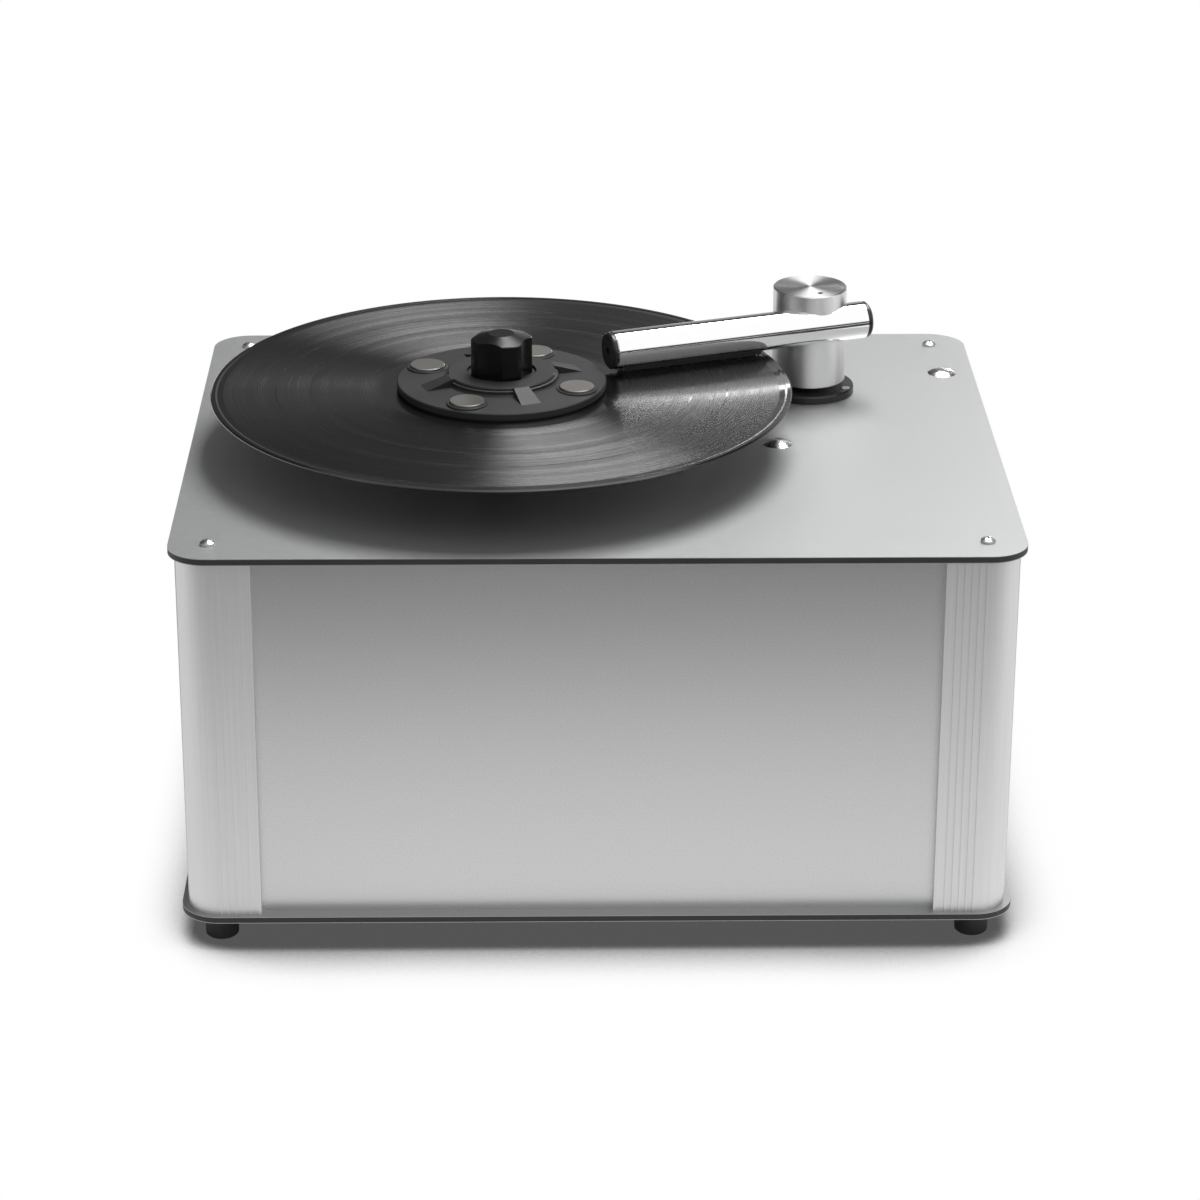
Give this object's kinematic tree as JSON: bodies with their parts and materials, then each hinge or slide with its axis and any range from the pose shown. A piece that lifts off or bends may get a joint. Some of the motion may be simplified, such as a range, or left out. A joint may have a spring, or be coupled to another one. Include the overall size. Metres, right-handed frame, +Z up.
{
  "type": "record cleaning machine",
  "caption": "Record cleaning machine: box cabinet with ribbed corner posts, driven platter, magnetic label clamp and a sprung, swinging suction arm over a waste tank.",
  "frame": {"origin": "centre of the cabinet on the surface that it stands on", "axes": "+X to the right along the cabinet's width, +Y to the back, +Z up"},
  "size_m": [0.419, 0.336, 0.2707],
  "materials": {
    "sandwich_core": "matte black core, seen at the panels' edges",
    "sandwich_skin": "satin silver skin with a fine brushed grain",
    "post_aluminium": "clear anodised extrusion, satin",
    "wall_aluminium": "satin anodised sheet",
    "foot_rubber": "matte black rubber",
    "plated_screws": "zinc-plated",
    "bright_bolts": "polished dome heads",
    "bearing_metal": "turned aluminium",
    "bush_bronze": "sintered bronze",
    "shaft_steel": "ground steel",
    "spring_steel": "bright spring wire",
    "motor_metal": "grey drawn steel can",
    "black_plastic": "moulded black, fine grain",
    "rocker_plastic": "smooth black",
    "mat_rubber": "matte black rubber",
    "record_vinyl": "pressed black vinyl with fine grooves and plain label",
    "clamp_plastic": "dark grey turned plastic, satin",
    "knob_plastic": "black, satin",
    "magnet_nickel": "nickel-plated magnet",
    "column_aluminium": "turned and satin anodised",
    "tube_polish": "polished tube",
    "lip_velvet": "short black velvet pile",
    "dark_screw": "blackened steel",
    "tank_plastic": "natural moulded polyethylene",
    "lid_plastic": "dark moulded plastic",
    "clear_tube": "clear flexible tube",
    "board_green": "green circuit board with dark parts"
  },
  "bodies": {
    "cabinet": {"base_panel_core": "sandwich_core", "base_panel_skins": "sandwich_skin", "top_panel_core": "sandwich_core", "top_panel_skins": "sandwich_skin", "corner_post_front_left": "post_aluminium", "corner_post_front_right": "post_aluminium", "corner_post_rear_left": "post_aluminium", "corner_post_rear_right": "post_aluminium", "front_panel": "wall_aluminium", "rear_panel": "wall_aluminium", "left_panel": "wall_aluminium", "right_panel": "wall_aluminium", "feet": "foot_rubber", "base_screws": "plated_screws", "top_screws": "plated_screws", "tank_bolts": "bright_bolts", "tank_bolt_nuts": "plated_screws", "bearing_housing": "bearing_metal", "bearing_bushes": "bush_bronze", "drip_collar": "black_plastic", "bearing_screws": "plated_screws", "motor_plate": "bearing_metal", "motor_standoffs": "plated_screws", "gearbox": "motor_metal", "drive_motor": "motor_metal", "arm_flange": "black_plastic", "flange_screws": "plated_screws", "arm_bush": "bush_bronze", "bush_nut": "plated_screws", "lift_spring": "spring_steel", "waste_tank": "tank_plastic", "tank_lid": "lid_plastic", "vacuum_motor": "motor_metal", "fan_housing": "motor_metal", "air_hose": "mat_rubber", "drain_fittings": "black_plastic", "level_tube": "clear_tube", "mains_inlet": "black_plastic", "switch_housings": "black_plastic", "control_board": "board_green"},
    "platter": {"spindle_shaft": "shaft_steel", "shaft_coupling": "bearing_metal", "platter": "black_plastic", "platter_magnets": "magnet_nickel", "platter_mat": "mat_rubber", "record": "record_vinyl"},
    "clamp": {"clamp_disc": "clamp_plastic", "clamp_magnets": "magnet_nickel", "clamp_seal": "mat_rubber", "clamp_knob": "knob_plastic", "knob_cap": "knob_plastic"},
    "riser": {"riser_tube": "shaft_steel"},
    "arm": {"arm_column": "column_aluminium", "suction_tube": "tube_polish", "suction_lips": "lip_velvet", "tube_end_caps": "black_plastic", "column_set_screw": "dark_screw"},
    "power_switch": {"power_rocker": "rocker_plastic"},
    "platter_switch": {"platter_rocker": "rocker_plastic"},
    "vacuum_switch": {"vacuum_rocker": "rocker_plastic"}
  },
  "joints": [
    {"name": "platter_spin", "type": "hinge", "parent": "cabinet", "child": "platter", "pos_m": [-0.04787, -0.00349, 0.2411], "axis": [0, 0, 1], "continuous": true},
    {"name": "clamp_lift", "type": "slide", "parent": "platter", "child": "clamp", "axis": [0, 0, 1], "range_m": [0, 0.045]},
    {"name": "arm_lift", "type": "slide", "parent": "cabinet", "child": "riser", "axis": [0, 0, 1], "range_m": [-0.0004, 0.012], "stiffness_N_per_m": 1500, "springref_m": 0.00152, "deforming": ["lift_spring"]},
    {"name": "arm_swing", "type": "hinge", "parent": "riser", "child": "arm", "pos_m": [0.1169, 0.0745, 0.2118], "axis": [0, 0, 1], "range_deg": [0, 75]},
    {"name": "power_rocker_tilt", "type": "hinge", "parent": "cabinet", "child": "power_switch", "pos_m": [-0.094, 0.1606, 0.0664], "axis": [1, 0, 0], "range_deg": [0, 16]},
    {"name": "platter_rocker_tilt", "type": "hinge", "parent": "cabinet", "child": "platter_switch", "pos_m": [0.2021, -0.118, 0.1764], "axis": [0, 1, 0], "range_deg": [-8, 8]},
    {"name": "vacuum_rocker_tilt", "type": "hinge", "parent": "cabinet", "child": "vacuum_switch", "pos_m": [0.2021, -0.088, 0.1764], "axis": [0, -1, 0], "range_deg": [0, 16]}
  ]
}
